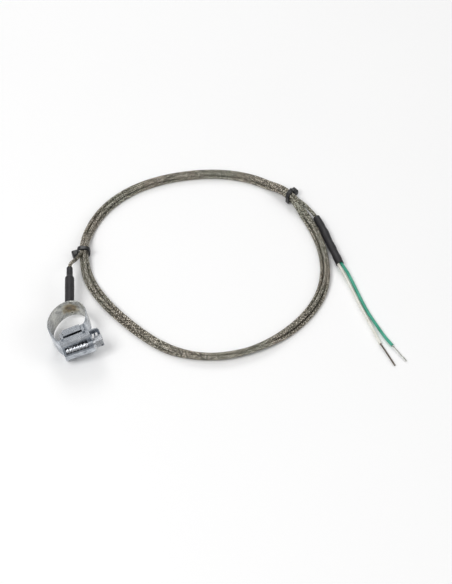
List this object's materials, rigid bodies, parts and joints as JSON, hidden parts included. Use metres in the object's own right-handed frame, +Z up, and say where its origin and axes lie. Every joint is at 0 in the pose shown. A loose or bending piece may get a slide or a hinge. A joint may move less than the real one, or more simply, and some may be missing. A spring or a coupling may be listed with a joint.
{
  "type": "pipe clamp thermocouple",
  "caption": "Worm-drive band clip with a sensor brazed to its band, a steel-braided lead wound in a tied coil, and two bare-ended connecting leads.",
  "frame": {"origin": "under the middle of the clip and its sensor, on the surface that they lie on", "axes": "+Z up; +Y from the screw housing across the loop to the sensor; +X towards the screw's head; the clip leans 9 degrees to the left about Y"},
  "size_m": [0.1848, 0.1822, 0.019],
  "materials": {
    "zinc": "bright zinc-plated pressed steel",
    "screw_steel": "turned and plated steel",
    "braze": "heat-tinted silver-brazed fillet",
    "stainless": "drawn stainless steel",
    "nickel_alloy": "nickel alloy wire",
    "cement": "pale potting cement",
    "glass_fibre": "varnished glass-fibre insulation",
    "shrink_black": "satin heat-shrink sleeve",
    "tie_black": "moulded nylon",
    "braid": "woven stainless wire",
    "green": "smooth sleeving",
    "white": "smooth sleeving"
  },
  "bodies": {
    "clip_and_lead": {"band_loop": "zinc", "saddle_plate": "zinc", "screw_housing": "zinc", "braze_pad": "braze", "sensor_tube": "stainless", "hot_junction": "nickel_alloy", "positive_element": "nickel_alloy", "negative_element": "nickel_alloy", "cement_fill": "cement", "lead_bared_end": "glass_fibre", "clamp_sleeve": "shrink_black", "lead_in": "braid", "cable_coil": "braid", "lead_out": "braid", "cable_tie_left": "tie_black", "cable_tie_right": "tie_black", "tail_sleeve": "shrink_black", "braid_ferrule": "stainless", "positive_lead": "green", "negative_lead": "white", "positive_conductor": "nickel_alloy", "negative_conductor": "nickel_alloy"},
    "screw": {"worm_screw": "screw_steel"},
    "band_end": {"band_free_end": "zinc"}
  },
  "joints": [
    {"name": "screw_turn", "type": "hinge", "parent": "clip_and_lead", "child": "screw", "pos_m": [-0.00111, -0.02566, 0.00949], "axis": [0.9858, -0.061, 0.1561], "range_deg": [-720, 720]},
    {"name": "band_draw", "type": "slide", "parent": "clip_and_lead", "child": "band_end", "axis": [0.9877, 0, 0.1564], "range_m": [-0.00402, 0.00402]}
  ],
  "couplings": [
    {"joint": "band_draw", "follows": "screw_turn", "m_per_rad": -0.00031831}
  ]
}
